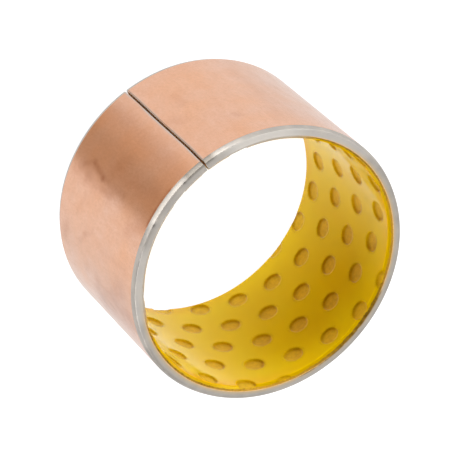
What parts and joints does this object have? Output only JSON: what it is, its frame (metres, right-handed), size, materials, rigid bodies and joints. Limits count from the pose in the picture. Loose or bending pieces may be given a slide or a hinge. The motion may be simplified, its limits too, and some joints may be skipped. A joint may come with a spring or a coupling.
{
  "type": "wrapped composite bushing",
  "caption": "Split wrapped bushing: copper-flashed steel back, sintered bronze interlayer and a yellow acetal lining with round grease indents, chamfered at both ends.",
  "frame": {"origin": "centre of the lower end face, on the axis of the bore", "axes": "+Z along the axis of the bore, towards the upper end; the butt joint runs up the front, at -Y"},
  "size_m": [0.055, 0.055, 0.034],
  "materials": {
    "copper_flashed_steel": "satin copper flash outside, bare turned steel at the ends",
    "sintered_bronze": "granular, cut",
    "yellow_acetal": "smooth, semi-gloss"
  },
  "bodies": {
    "root": {"steel_backing": "copper_flashed_steel", "bronze_interlayer": "sintered_bronze", "acetal_lining": "yellow_acetal"}
  },
  "joints": []
}
